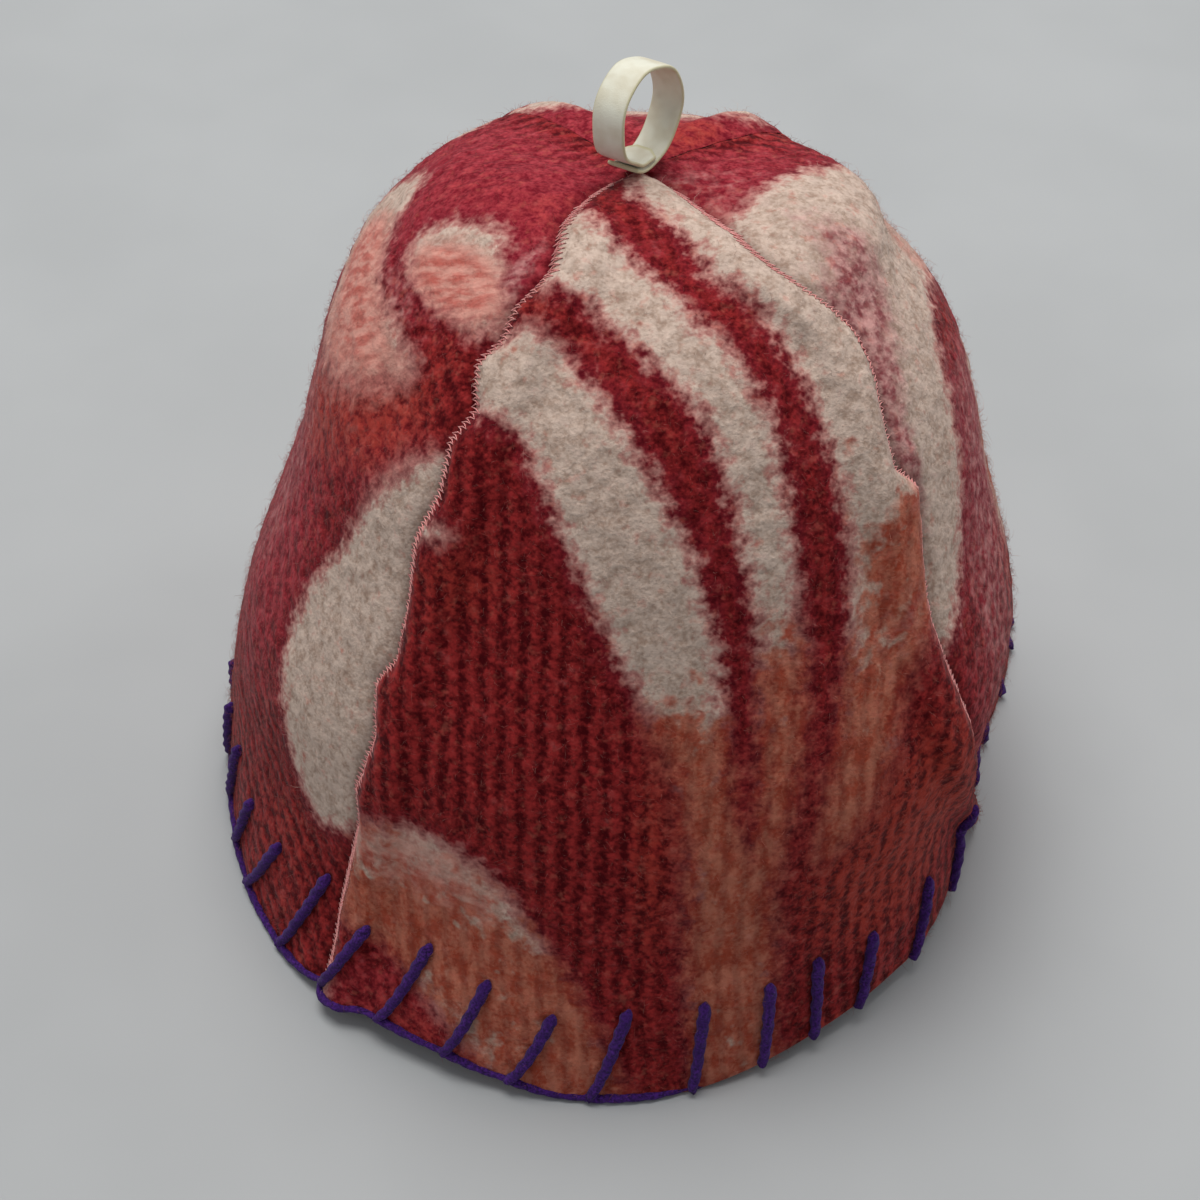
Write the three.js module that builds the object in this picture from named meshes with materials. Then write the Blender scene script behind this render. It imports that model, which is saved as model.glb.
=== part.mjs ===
// A sauna hat: four gores of thick fulled wool, lapped and sewn, with a tape loop on the crown.
// Millimetres, +Z up, the front towards -Y. The rim stands on z = 0.
import * as THREE from 'three';

const { degToRad, smoothstep, clamp } = THREE.MathUtils;

// ---- Driving sizes ----------------------------------------------------------------------
const APEX_HEIGHT = 199.5;           // the crown's middle point above the floor
const CROWN_LEAN = degToRad(8);      // the crown leans back over the rim
const WALL = 3;                      // fulled wool
const LAYER_GAP = 0.4;               // air between two layers that lie on each other
const LAP = 8;                       // how far a side gore runs on under its neighbour
const LAP_SPREAD = 0.3;              // a lap's widest angle round the apex, radians
const EDGE_WAVE = 1.6;               // how far a hand-cut edge wanders from its line
const EDGE_WAVES = 9;                // wanderings between the apex and the rim
const WAVE_START = { from: 0.1, to: 0.3 };    // share of the way down where they set in
const TIP_SHARE = 0.006;             // share of the way down where the gores' tips end
const TIP_RAISED = { from: 22, to: 45 };      // radii where a raised tip comes down again

const LOOP_RADIUS = 14;              // outside of the tape ring
const LOOP_FORWARD = 2.5;            // how far its foot stands in front of the apex
const TAPE_WIDTH = 9.5;
const TAPE_THICKNESS = 1.2;
const TAPE_OVERLAP = degToRad(55);   // the ring's inner end runs on over the outer one
const TAPE_STEP = degToRad(38);      // it moves inwards over this angle before that
const LOOP_TURN = degToRad(-35);     // the ring's axis, from +X towards the front

const GORE_ROWS = 28;
const GORE_COLUMNS = 20;
const LOOP_STEPS = 48;

// ---- Form of the hat --------------------------------------------------------------------
// Cross sections from the apex to the rim. share: part of the drop to the rim, sway: shift of
// the section to the right. Then its radius to the front, front right, right and so on round.
const SECTIONS = [
  { share: 0.000, sway: 1, f: 0, fr: 0, r: 0, br: 0, b: 0, bl: 0, l: 0, fl: 0 },
  { share: 0.017, sway: 2, f: 42, fr: 48, r: 53, br: 45, b: 42, bl: 50, l: 46, fl: 41 },
  { share: 0.092, sway: 2, f: 68, fr: 70, r: 67, br: 61, b: 62, bl: 71, l: 68, fl: 65 },
  { share: 0.211, sway: 0, f: 87, fr: 90, r: 87, br: 79, b: 79, bl: 81, l: 80, fl: 82 },
  { share: 0.396, sway: -1, f: 100, fr: 104, r: 99, br: 93, b: 92, bl: 90, l: 91, fl: 94 },
  { share: 0.602, sway: -2, f: 111, fr: 118, r: 111, br: 110, b: 108, bl: 103, l: 106, fl: 107 },
  { share: 0.814, sway: -3, f: 115, fr: 114, r: 108, br: 129, b: 121, bl: 120, l: 113, fl: 108 },
  { share: 1.000, sway: 0, f: 120, fr: 112, r: 109, br: 162, b: 138, bl: 135, l: 120, fl: 121 },
];

// Azimuth of each seam, in degrees from the front towards the right, section by section.
const SEAMS = [
  { leftFront: -46, rightFront: 52, rightBack: 138, leftBack: 212 },
  { leftFront: -30, rightFront: 39, rightBack: 132, leftBack: 219 },
  { leftFront: -33, rightFront: 48, rightBack: 140, leftBack: 217 },
  { leftFront: -33, rightFront: 47, rightBack: 138, leftBack: 220 },
  { leftFront: -36, rightFront: 48, rightBack: 135, leftBack: 223 },
  { leftFront: -38, rightFront: 52, rightBack: 134, leftBack: 223 },
  { leftFront: -42, rightFront: 66, rightBack: 138, leftBack: 222 },
  { leftFront: -45, rightFront: 84, rightBack: 140, leftBack: 221 },
];

// Height of the rim above the floor, every 30 degrees from the front towards the right.
// The stretches at or below 0 are the ones that the hat stands on.
const RIM_LIFT = [-1, 5, 4, -1, -1, 3, -1, 3, 2, -1, -1, 7];

// Soft folds of the wool: the azimuth and the v of the middle, the height (below 0 for a
// dent) and the spread round it.
const FOLDS = [
  { azimuth: -75, v: 0.11, height: 2.5, spread: 20 },
  { azimuth: 72, v: 0.10, height: 2.5, spread: 17 },
  { azimuth: 48, v: 0.08, height: -2.2, spread: 13 },
  { azimuth: 20, v: 0.33, height: 1.2, spread: 22 },
  { azimuth: -50, v: 0.40, height: -1.6, spread: 14 },
  { azimuth: -95, v: 0.66, height: -1.8, spread: 22 },
  { azimuth: 150, v: 0.40, height: 2.0, spread: 26 },
  { azimuth: 205, v: 0.55, height: -2.2, spread: 28 },
  { azimuth: 250, v: 0.42, height: 2.0, spread: 24 },
];
const FOLDS_BELOW = { from: 0, to: 0.05 };    // v where they set in after the apex
const FOLDS_ABOVE = { from: 0.93, to: 1 };    // v where they die away before the rim

// ---- Interpolation ----------------------------------------------------------------------
function hermite(p0, p1, p2, p3, w) {
  const start = (p2 - p0) / 2;
  const end = (p3 - p1) / 2;
  const cubic = 2 * p1 - 2 * p2 + start + end;
  const square = 3 * p2 - 3 * p1 - 2 * start - end;
  return ((cubic * w + square) * w + start) * w + p1;
}

// A smooth value from a list of evenly spaced ones; t runs from 0 to 1.
function along(values, t) {
  const last = values.length - 1;
  const i = clamp(Math.floor(t * last), 0, last - 1);
  const at = (k) => values[clamp(k, 0, last)];
  return hermite(at(i - 1), at(i), at(i + 1), at(i + 2), t * last - i);
}

// The same round a closed ring; the azimuth is in radians.
function around(values, azimuth) {
  const n = values.length;
  const t = (azimuth / (2 * Math.PI)) * n;
  const i = Math.floor(t);
  const at = (k) => values[((k % n) + n) % n];
  return hermite(at(i - 1), at(i), at(i + 1), at(i + 2), t - i);
}

const column = (table, name) => table.map((row) => row[name]);
const SHARES = column(SECTIONS, 'share');
const SWAYS = column(SECTIONS, 'sway');
const RADII = ['f', 'fr', 'r', 'br', 'b', 'bl', 'l', 'fl'].map((name) => column(SECTIONS, name));

// ---- The hat's outer surface ------------------------------------------------------------
const radiusAt = (azimuth, v) => around(RADII.map((radii) => along(radii, v)), azimuth);
const rimLift = (azimuth) => Math.max(0, around(RIM_LIFT, azimuth));

// v runs from 0 at the apex to 1 at the rim.
function surfacePoint(azimuth, v) {
  const radius = radiusAt(azimuth, v);
  const forward = radius * Math.cos(azimuth);
  const rimForward = radiusAt(azimuth, 1) * Math.cos(azimuth);
  const rimDrop = APEX_HEIGHT + rimForward * Math.sin(CROWN_LEAN) - rimLift(azimuth);
  const drop = (along(SHARES, v) * rimDrop) / Math.cos(CROWN_LEAN);
  return new THREE.Vector3(
    radius * Math.sin(azimuth) + along(SWAYS, v),
    -forward * Math.cos(CROWN_LEAN) - drop * Math.sin(CROWN_LEAN),
    APEX_HEIGHT + forward * Math.sin(CROWN_LEAN) - drop * Math.cos(CROWN_LEAN),
  );
}

function surfaceNormal(azimuth, v) {
  const step = 1e-3;
  const down = surfacePoint(azimuth, Math.min(v + step, 1)).sub(surfacePoint(azimuth, v - step));
  const across = surfacePoint(azimuth + step, v).sub(surfacePoint(azimuth - step, v));
  return down.cross(across).normalize();
}

function foldHeight(azimuth, v) {
  const point = surfacePoint(azimuth, v);
  let height = 0;
  for (const fold of FOLDS) {
    const apart = point.distanceTo(surfacePoint(degToRad(fold.azimuth), fold.v)) / fold.spread;
    height += fold.height * Math.exp(-apart * apart);
  }
  const set = smoothstep(v, FOLDS_BELOW.from, FOLDS_BELOW.to);
  return height * set * (1 - smoothstep(v, FOLDS_ABOVE.from, FOLDS_ABOVE.to));
}

// A point at a height above the folded surface. At the rim it moves level, so that the rim
// is flat.
function offsetPoint(azimuth, v, height) {
  const normal = surfaceNormal(azimuth, v);
  if (v === 1) normal.setZ(0).normalize();
  return surfacePoint(azimuth, v).addScaledVector(normal, height + foldHeight(azimuth, v));
}

// ---- Solids -----------------------------------------------------------------------------
// A closed skin between two grids of points: point(i, j, side), side 0 outside, 1 inside.
function shell(rows, columns, point) {
  const positions = [];
  const index = (i, j, side) => 2 * (i * (columns + 1) + j) + side;
  for (let i = 0; i <= rows; i += 1) {
    for (let j = 0; j <= columns; j += 1) {
      positions.push(...point(i, j, 0).toArray(), ...point(i, j, 1).toArray());
    }
  }
  const faces = [];
  const quad = (a, b, c, d) => faces.push(a, b, c, a, c, d);
  for (let i = 0; i < rows; i += 1) {
    for (let j = 0; j < columns; j += 1) {
      quad(index(i, j, 0), index(i + 1, j, 0), index(i + 1, j + 1, 0), index(i, j + 1, 0));
      quad(index(i, j, 1), index(i, j + 1, 1), index(i + 1, j + 1, 1), index(i + 1, j, 1));
    }
  }
  for (let j = 0; j < columns; j += 1) {
    quad(index(0, j, 0), index(0, j + 1, 0), index(0, j + 1, 1), index(0, j, 1));
    quad(index(rows, j, 1), index(rows, j + 1, 1), index(rows, j + 1, 0), index(rows, j, 0));
  }
  for (let i = 0; i < rows; i += 1) {
    quad(index(i, 0, 1), index(i + 1, 0, 1), index(i + 1, 0, 0), index(i, 0, 0));
    quad(index(i, columns, 0), index(i + 1, columns, 0), index(i + 1, columns, 1),
      index(i, columns, 1));
  }
  const geometry = new THREE.BufferGeometry();
  geometry.setAttribute('position', new THREE.Float32BufferAttribute(positions, 3));
  geometry.setIndex(faces);
  geometry.computeVertexNormals();
  return geometry;
}

const rowShare = (i) => (i === GORE_ROWS ? 1 : TIP_SHARE + ((1 - TIP_SHARE) * i) / GORE_ROWS);

const seamAzimuth = (name, v) => degToRad(along(column(SEAMS, name), v));
const lapAngle = (azimuth, v) => Math.min(LAP / radiusAt(azimuth, v), LAP_SPREAD);

// A side gore runs on under its neighbours by a lap at each seam.
function underGore(first, second, turn) {
  return shell(GORE_ROWS, GORE_COLUMNS, (i, j, side) => {
    const v = rowShare(i);
    const start = seamAzimuth(first, v);
    const end = seamAzimuth(second, v) + turn;
    const low = start - lapAngle(start, v);
    const high = end + lapAngle(end, v);
    return offsetPoint(low + ((high - low) * j) / GORE_COLUMNS, v, side === 0 ? 0 : -WALL);
  });
}

// Columns of a gore that lies on top, in laps from its edge: the first ones clear the gore
// below, and the rest come down to its level.
const EDGE_COLUMNS = [0, 0.6, 1.2, 1.7, 2.3];
const CLEAR_LAPS = EDGE_COLUMNS[2];
const LEVEL_LAPS = EDGE_COLUMNS[4];

function overGore(first, second) {
  const edges = EDGE_COLUMNS.length - 1;
  return shell(GORE_ROWS, GORE_COLUMNS, (i, j, side) => {
    const v = rowShare(i);
    const waving = EDGE_WAVE * smoothstep(v, WAVE_START.from, WAVE_START.to);
    const wander = waving * Math.sin(2 * Math.PI * EDGE_WAVES * v);
    const start = seamAzimuth(first, v);
    const end = seamAzimuth(second, v);
    const startLap = lapAngle(start, v);
    const endLap = lapAngle(end, v);
    const fromStart = Math.min(j, edges);
    const fromEnd = Math.min(GORE_COLUMNS - j, edges);
    const low = start + startLap * LEVEL_LAPS;
    const high = end - endLap * LEVEL_LAPS;
    let azimuth = low + ((high - low) * (j - edges)) / (GORE_COLUMNS - 2 * edges);
    if (fromStart < edges) azimuth = start + startLap * EDGE_COLUMNS[fromStart];
    if (fromEnd < edges) azimuth = end - endLap * EDGE_COLUMNS[fromEnd];
    if (fromStart === 0) azimuth += wander / radiusAt(start, v);
    if (fromEnd === 0) azimuth -= wander / radiusAt(end, v);
    const laps = EDGE_COLUMNS[Math.min(fromStart, fromEnd)];
    const nearEdge = 1 - smoothstep(laps, CLEAR_LAPS, LEVEL_LAPS);
    const nearTip = 1 - smoothstep(radiusAt(azimuth, v), TIP_RAISED.from, TIP_RAISED.to);
    const rise = (WALL + LAYER_GAP) * Math.max(nearEdge, nearTip);
    return offsetPoint(azimuth, v, side === 0 ? rise : rise - WALL);
  });
}

// A strip of tape bent to a ring round the Y axis, starting at the foot, with its inner end
// lying on the outer one. The ring's centre is the origin.
function tapeRing() {
  const sweep = 2 * Math.PI + TAPE_OVERLAP;
  const start = -Math.PI / 2 - TAPE_OVERLAP / 2;
  const layer = TAPE_THICKNESS + LAYER_GAP;
  return shell(LOOP_STEPS, 1, (i, j, side) => {
    const turned = (sweep * i) / LOOP_STEPS;
    const step = smoothstep(turned, 2 * Math.PI - TAPE_STEP, 2 * Math.PI);
    const radius = LOOP_RADIUS - layer * step - (side === 0 ? 0 : TAPE_THICKNESS);
    const angle = start + turned;
    const across = (j - 0.5) * TAPE_WIDTH;
    return new THREE.Vector3(radius * Math.cos(angle), -across, radius * Math.sin(angle));
  });
}

// ---- Assembly ---------------------------------------------------------------------------
function piece(name, geometry, color, roughness) {
  const material = new THREE.MeshStandardMaterial({ color, roughness, metalness: 0 });
  const mesh = new THREE.Mesh(geometry, material);
  mesh.name = name;
  return mesh;
}

const hat = new THREE.Group();
hat.add(piece('front_gore', overGore('leftFront', 'rightFront'), 0x7d1f26, 0.95));
hat.add(piece('right_gore', underGore('rightFront', 'rightBack', 0), 0xb9a79a, 0.95));
hat.add(piece('back_gore', overGore('rightBack', 'leftBack'), 0x9c3a3f, 0.95));
hat.add(piece('left_gore', underGore('leftBack', 'leftFront', 2 * Math.PI), 0xa8323f, 0.95));

// The loop stands just in front of the apex and leans back with the crown.
const LOOP_FOOT = WALL + 2 * LAYER_GAP;
const crown = new THREE.Group();
crown.position.copy(surfacePoint(0, 0));
crown.rotation.x = -CROWN_LEAN;
const loop = piece('hanging_loop', tapeRing(), 0xe2dccd, 0.7);
loop.position.set(0, -LOOP_FORWARD, LOOP_FOOT + LOOP_RADIUS);
loop.rotation.z = LOOP_TURN + Math.PI / 2;
crown.add(loop);
hat.add(crown);

// The origin is under the middle of the hat's box.
const middle = new THREE.Box3().setFromObject(hat, true).getCenter(new THREE.Vector3());
hat.position.set(-middle.x, -middle.y, 0);

export default hat;
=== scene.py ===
"""The looks of a sauna hat: fulled blanket wool, zigzag seams, a yarn edging and a tape loop.

Everything is in metres, +Z up, with the front towards -Y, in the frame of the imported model.
A place on the hat is an azimuth (degrees, from the front towards the right) and a share v of
the way down, 0 at the apex and 1 at the rim.
"""
import math
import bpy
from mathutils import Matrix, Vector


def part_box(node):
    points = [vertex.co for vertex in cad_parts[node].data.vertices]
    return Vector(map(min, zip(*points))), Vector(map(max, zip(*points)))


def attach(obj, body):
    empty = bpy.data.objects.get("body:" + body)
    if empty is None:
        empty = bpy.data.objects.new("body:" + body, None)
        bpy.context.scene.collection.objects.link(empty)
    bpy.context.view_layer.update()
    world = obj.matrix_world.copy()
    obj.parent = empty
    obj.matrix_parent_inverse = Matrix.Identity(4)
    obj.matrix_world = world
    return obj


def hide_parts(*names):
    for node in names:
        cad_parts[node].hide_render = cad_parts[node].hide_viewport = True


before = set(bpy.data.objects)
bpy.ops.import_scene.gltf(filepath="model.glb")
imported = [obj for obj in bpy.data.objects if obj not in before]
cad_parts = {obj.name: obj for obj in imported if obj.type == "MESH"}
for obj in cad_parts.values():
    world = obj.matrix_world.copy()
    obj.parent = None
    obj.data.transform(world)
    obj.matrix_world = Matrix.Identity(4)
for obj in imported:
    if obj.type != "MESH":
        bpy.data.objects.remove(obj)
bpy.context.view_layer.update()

from types import SimpleNamespace

import bpy
import numpy as np
from mathutils import Matrix

MM = 0.001
BODY = "root"

# ---- Driving sizes of the hat, the same as the solids' ----
APEX_HEIGHT = 199.5 * MM
CROWN_LEAN = math.radians(8)
SIDE_LENGTH = 0.25  # from the apex down to the rim, about
WALL = 3 * MM
LAYER_GAP = 0.4 * MM
LAP = 8 * MM
LAP_SPREAD = 0.3
TIP_SHARE = 0.006
TIP_RAISED = (22 * MM, 45 * MM)
CLEAR_LAPS = 1.2
LEVEL_LAPS = 2.3
LOOP_RADIUS = 14 * MM
LOOP_FORWARD = 2.5 * MM
TAPE_WIDTH = 9.5 * MM
TAPE_THICKNESS = 1.2 * MM
TAPE_OVERLAP = math.radians(55)
TAPE_STEP = math.radians(38)
LOOP_TURN = math.radians(-35)

# Cross sections from the apex to the rim: share of the drop, sway to the right, and the
# radius every 45 degrees from the front towards the right (mm).
SECTIONS = np.array([
    # share sway  f   fr    r   br    b   bl    l   fl
    (0.000, 1, 0, 0, 0, 0, 0, 0, 0, 0),
    (0.017, 2, 42, 48, 53, 45, 42, 50, 46, 41),
    (0.092, 2, 68, 70, 67, 61, 62, 71, 68, 65),
    (0.211, 0, 87, 90, 87, 79, 79, 81, 80, 82),
    (0.396, -1, 100, 104, 99, 93, 92, 90, 91, 94),
    (0.602, -2, 111, 118, 111, 110, 108, 103, 106, 107),
    (0.814, -3, 115, 114, 108, 129, 121, 120, 113, 108),
    (1.000, 0, 120, 112, 109, 162, 138, 135, 120, 121),
])
SHARES = SECTIONS[:, 0]
SWAYS = SECTIONS[:, 1] * MM
RADII = SECTIONS[:, 2:] * MM

# Azimuth of each seam, section by section (degrees).
SEAMS = {
    "left_front": (-46, -30, -33, -33, -36, -38, -42, -45),
    "right_front": (52, 39, 48, 47, 48, 52, 66, 84),
    "right_back": (138, 132, 140, 138, 135, 134, 138, 140),
    "left_back": (212, 219, 217, 220, 223, 223, 222, 221),
}
# Height of the rim above the floor every 30 degrees (mm); at or below 0 it stands.
RIM_LIFT = np.array((-1, 5, 4, -1, -1, 3, -1, 3, 2, -1, -1, 7)) * MM
# Soft folds: azimuth, share down, height (mm, negative for a dent), spread (mm).
FOLDS = (
    (-75, 0.11, 2.5, 20),
    (72, 0.10, 2.5, 17),
    (48, 0.08, -2.2, 13),
    (20, 0.33, 1.2, 22),
    (-50, 0.40, -1.6, 14),
    (-95, 0.66, -1.8, 22),
    (150, 0.40, 2.0, 26),
    (205, 0.55, -2.2, 28),
    (250, 0.42, 2.0, 24),
)
FOLDS_BELOW = (0, 0.05)  # share down where they set in
FOLDS_ABOVE = (0.93, 1)  # and where they die away

# ---- Looks: sizes of the cloth ----
GORE_ROWS = 208  # even numbers: the inside has half as many
GORE_COLUMNS = 150
RIB_PITCH = 5.3 * MM
RIB_BEND, RIB_BEND_CELL = 0.9 * MM, 14 * MM  # how far the fulling has bent the ribs
COURSE_PITCH = 3.3 * MM
COURSE_BEND, COURSE_BEND_CELL = 0.8 * MM, 11 * MM
RIM_ROUND = 3.2 * MM  # how far up from the rim its rounding reaches
EDGE_ROUND = 5.0 * MM  # how far in from a cut edge the seam pulls it down
EDGE_SINK = 3.2 * MM  # how far it pulls the edge's outside down
EDGE_SINK_INSIDE = 0.9 * MM  # and its inside
SEAM_DIP = 1.1 * MM  # how far it pulls the lower layer down
SEAM_DIP_REACH = 3.5 * MM
PAINTED_SHADE_REACH = 3.0 * MM  # how far from the edge over it the lower layer is darkened by painted shade
FLUSH_SEAMS = ("right_back", "left_back")  # fulled flat on the crown
FLUSH_ABOVE = (0.28, 0.42)  # share down where that ends
FLUSH_ROUND = 9.0 * MM  # how much further in their edges come down there
FLUSH_RAISE = 0.5 * MM  # and how much less far
FLUSH_FILL = 0.6 * MM  # how far the lower layer comes up to them
# Lumps of the fulled wool: height, cell (mm).
LUMPS = ((0.75, 24), (0.30, 8), (0.34, 2.7))
RIB_RELIEF = 0.13 * MM
RIBS_ON_PALE = 0.25  # share of it on the pale wool
RIM_DROP = 0.9 * MM  # how far the rounding brings the outside in at the rim
SETTLED = 0.02  # share of the way up from the rim where the lumps set in
INSIDE_LUMPS = (0.2 * MM, 5 * MM)

# How far the cut edges wander: share of the way down, mm outwards.
EDGE_WANDER = {
    "left_front": ((0.05, 0), (0.12, 1.6), (0.175, -1.6), (0.235, 0.8), (0.275, -1.2),
                   (0.315, 2.2), (0.365, -2.6), (0.405, 1.4), (0.46, -0.6), (0.51, 2.4),
                   (0.56, -0.8), (0.617, -2.4), (0.645, 2.4), (0.69, -1.2), (0.72, -0.2),
                   (0.755, 1.7), (0.787, -1.1), (0.85, -0.5), (0.89, 0), (0.95, -2.0),
                   (1.0, -1.2)),
    "right_front": ((0.05, 0), (0.13, -1.4), (0.2, 0.4), (0.3, 0.6), (0.40, -1.8),
                    (0.445, -2.4), (0.475, 4.2), (0.53, 1.2), (0.6, -2.0), (0.7, 0.6),
                    (0.85, -0.6), (1.0, 0)),
    "right_back": ((0.05, 0), (0.2, 1.6), (0.32, -1.5), (0.45, 1.4), (0.6, -1.6),
                   (0.74, 1.5), (0.9, -1.2), (1.0, 0)),
    "left_back": ((0.05, 0), (0.16, -1.5), (0.28, 1.4), (0.42, -1.4), (0.55, 1.7),
                  (0.7, -1.2), (0.86, 1.5), (1.0, 0)),
}


# ---- Interpolation ----
def hermite(p0, p1, p2, p3, w):
    start = (p2 - p0) / 2
    end = (p3 - p1) / 2
    cubic = 2 * p1 - 2 * p2 + start + end
    square = 3 * p2 - 3 * p1 - 2 * start - end
    return ((cubic * w + square) * w + start) * w + p1


def along(values, t):
    """Smooth values from evenly spaced ones (first axis), at t from 0 to 1."""
    values = np.asarray(values, float)
    last = len(values) - 1
    place = np.asarray(t, float) * last
    i = np.clip(np.floor(place).astype(int), 0, last - 1)
    w = place - i
    if values.ndim > 1:
        w = w[..., None]
    return hermite(*(values[np.clip(i + k, 0, last)] for k in (-1, 0, 1, 2)), w)


def around(values, azimuth):
    """The same round a closed ring (last axis); the azimuth is in radians."""
    n = values.shape[-1]
    place = azimuth / (2 * math.pi) * n
    i = np.floor(place).astype(int)
    full = np.broadcast_to(values, azimuth.shape + (n,))
    near = [np.take_along_axis(full, ((i + k) % n)[..., None], -1)[..., 0] for k in (-1, 0, 1, 2)]
    return hermite(*near, place - i)


def smoothstep(x, low, high):
    t = np.clip((x - low) / (high - low), 0, 1)
    return t * t * (3 - 2 * t)


def unit(vectors):
    return vectors / np.linalg.norm(vectors, axis=-1, keepdims=True)


def lengths_along(path):
    """Distance from a path's first point to each of its points."""
    steps = np.linalg.norm(np.diff(path, axis=0), axis=1)
    return np.concatenate(((0,), np.cumsum(steps)))


def value_noise(points, cell, seed=0):
    """Smooth noise from -1 to 1 with cells of the given size."""
    place = points / cell + 100
    base = np.floor(place).astype(np.int64)
    w = place - base
    w = w * w * (3 - 2 * w)
    total = np.zeros(points.shape[:-1])
    for corner in np.ndindex(2, 2, 2):
        x, y, z = (base[..., k] + corner[k] for k in range(3))
        code = (x * 73856093) ^ (y * 19349663) ^ (z * 83492791) ^ (seed * 2654435761)
        code = ((code ^ (code >> 13)) * 1274126177) & 0xFFFFFFFF
        weight = np.prod([w[..., k] if corner[k] else 1 - w[..., k] for k in range(3)], axis=0)
        total += weight * ((code ^ (code >> 16)) & 0xFFFF) / 32767.5
    return total - 1


# ---- The hat's outer surface ----
def radius_at(azimuth, v):
    return around(along(RADII, v), azimuth)


def smooth_point(azimuth, v):
    radius = radius_at(azimuth, v)
    forward = radius * np.cos(azimuth)
    rim_forward = radius_at(azimuth, np.ones_like(v)) * np.cos(azimuth)
    lift = np.maximum(0, around(RIM_LIFT, azimuth))
    rim_drop = APEX_HEIGHT + rim_forward * math.sin(CROWN_LEAN) - lift
    drop = along(SHARES, v) * rim_drop / math.cos(CROWN_LEAN)
    return np.stack((
        radius * np.sin(azimuth) + along(SWAYS, v),
        -forward * math.cos(CROWN_LEAN) - drop * math.sin(CROWN_LEAN),
        APEX_HEIGHT + forward * math.sin(CROWN_LEAN) - drop * math.cos(CROWN_LEAN),
    ), -1)


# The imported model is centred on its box; the loop's box tells how far it was moved.
LOOP_RISE = WALL + 2 * LAYER_GAP + LOOP_RADIUS
loop_low, loop_high = (np.array(corner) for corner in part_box("hanging_loop"))
apex = smooth_point(np.zeros(1), np.zeros(1))[0]
crown_up = np.array((0, math.sin(CROWN_LEAN), math.cos(CROWN_LEAN)))
crown_front = np.array((0, -math.cos(CROWN_LEAN), math.sin(CROWN_LEAN)))
LOOP_CENTRE = apex + LOOP_RISE * crown_up + LOOP_FORWARD * crown_front
SHIFT = (loop_low + loop_high) / 2 - LOOP_CENTRE
SHIFT[2] = 0


def surface(azimuth, v):
    """Points of the smooth outer surface and their outward normals."""
    azimuth, v = np.broadcast_arrays(np.asarray(azimuth, float), np.asarray(v, float))
    step = 1e-3
    down = smooth_point(azimuth, np.minimum(v + step, 1)) - smooth_point(azimuth, v - step)
    across = smooth_point(azimuth + step, v) - smooth_point(azimuth - step, v)
    normal = unit(np.cross(down, across))
    level = normal * (1, 1, 0)
    near_rim = smoothstep(v, 0.985, 1)[..., None]
    normal = unit(normal + near_rim * (unit(level) - normal))
    return smooth_point(azimuth, v) + SHIFT, normal


def degrees_apart(azimuth, middle):
    """Azimuth (radians) less a middle one (degrees), in degrees from -180 to 180."""
    return (np.degrees(azimuth) - middle + 180) % 360 - 180


def scales(azimuth, v):
    """Metres for a degree across and for the whole way down, at a place on the hat."""
    step = 0.01
    low = np.clip(v - step, 0, 1)
    high = np.clip(v + step, 0, 1)
    length = np.linalg.norm(smooth_point(azimuth, high) - smooth_point(azimuth, low), axis=-1)
    return np.radians(radius_at(azimuth, v)), length / (high - low)


def fold_height(azimuth, v):
    points = smooth_point(azimuth, v)
    total = np.zeros_like(azimuth)
    for degrees, share, height, spread in FOLDS:
        middle = smooth_point(np.radians([degrees]), np.array([share]))[0]
        apart = np.linalg.norm(points - middle, axis=-1) / (spread * MM)
        total += height * MM * np.exp(-apart ** 2)
    return total * smoothstep(v, *FOLDS_BELOW) * (1 - smoothstep(v, *FOLDS_ABOVE))


# ---- Gores ----
def lap_angle(azimuth, v):
    return np.minimum(LAP / radius_at(azimuth, v), LAP_SPREAD)


def wander(name, v):
    places, offsets = zip(*EDGE_WANDER[name])
    return np.interp(v, places, np.array(offsets) * MM)


GORES = {
    # over: the gore lies on its neighbours; middle: azimuth that its ribs are measured from;
    # grain: how they lean (degrees)
    "front_gore": {"seams": ("left_front", "right_front"), "turn": 0, "over": True,
                   "middle": 2, "grain": 0},
    "right_gore": {"seams": ("right_front", "right_back"), "turn": 0, "over": False,
                   "middle": 95, "grain": -24},
    "back_gore": {"seams": ("right_back", "left_back"), "turn": 0, "over": True,
                  "middle": 180, "grain": 6},
    "left_gore": {"seams": ("left_back", "left_front"), "turn": 2 * math.pi, "over": False,
                  "middle": 270, "grain": 52},
}


def seam_azimuths(gore, v):
    """Azimuths of a gore's two seams."""
    first, second = (np.radians(along(SEAMS[seam], v)) for seam in gore["seams"])
    return first, second + gore["turn"]


def gore_azimuth(gore, share, v):
    """Azimuth at a share of the way across a gore, 0 at its first edge."""
    first, second = seam_azimuths(gore, v)
    if gore["over"]:
        reach = [wander(seam, v) / radius_at(azimuth, v)
                 for seam, azimuth in zip(gore["seams"], (first, second))]
    else:
        reach = [lap_angle(azimuth, v) for azimuth in (first, second)]
    start, end = first - reach[0], second + reach[1]
    return start + (end - start) * share


def over_height(gore, azimuth, v):
    """How far an upper gore's outside stands above the smooth surface."""
    first, second = seam_azimuths(gore, v)
    laps = np.minimum((azimuth - first) / lap_angle(first, v),
                      (second - azimuth) / lap_angle(second, v))
    near_edge = 1 - smoothstep(laps, CLEAR_LAPS, LEVEL_LAPS)
    near_tip = 1 - smoothstep(radius_at(azimuth, v), *TIP_RAISED)
    return (WALL + LAYER_GAP) * np.maximum(near_edge, near_tip)


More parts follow.
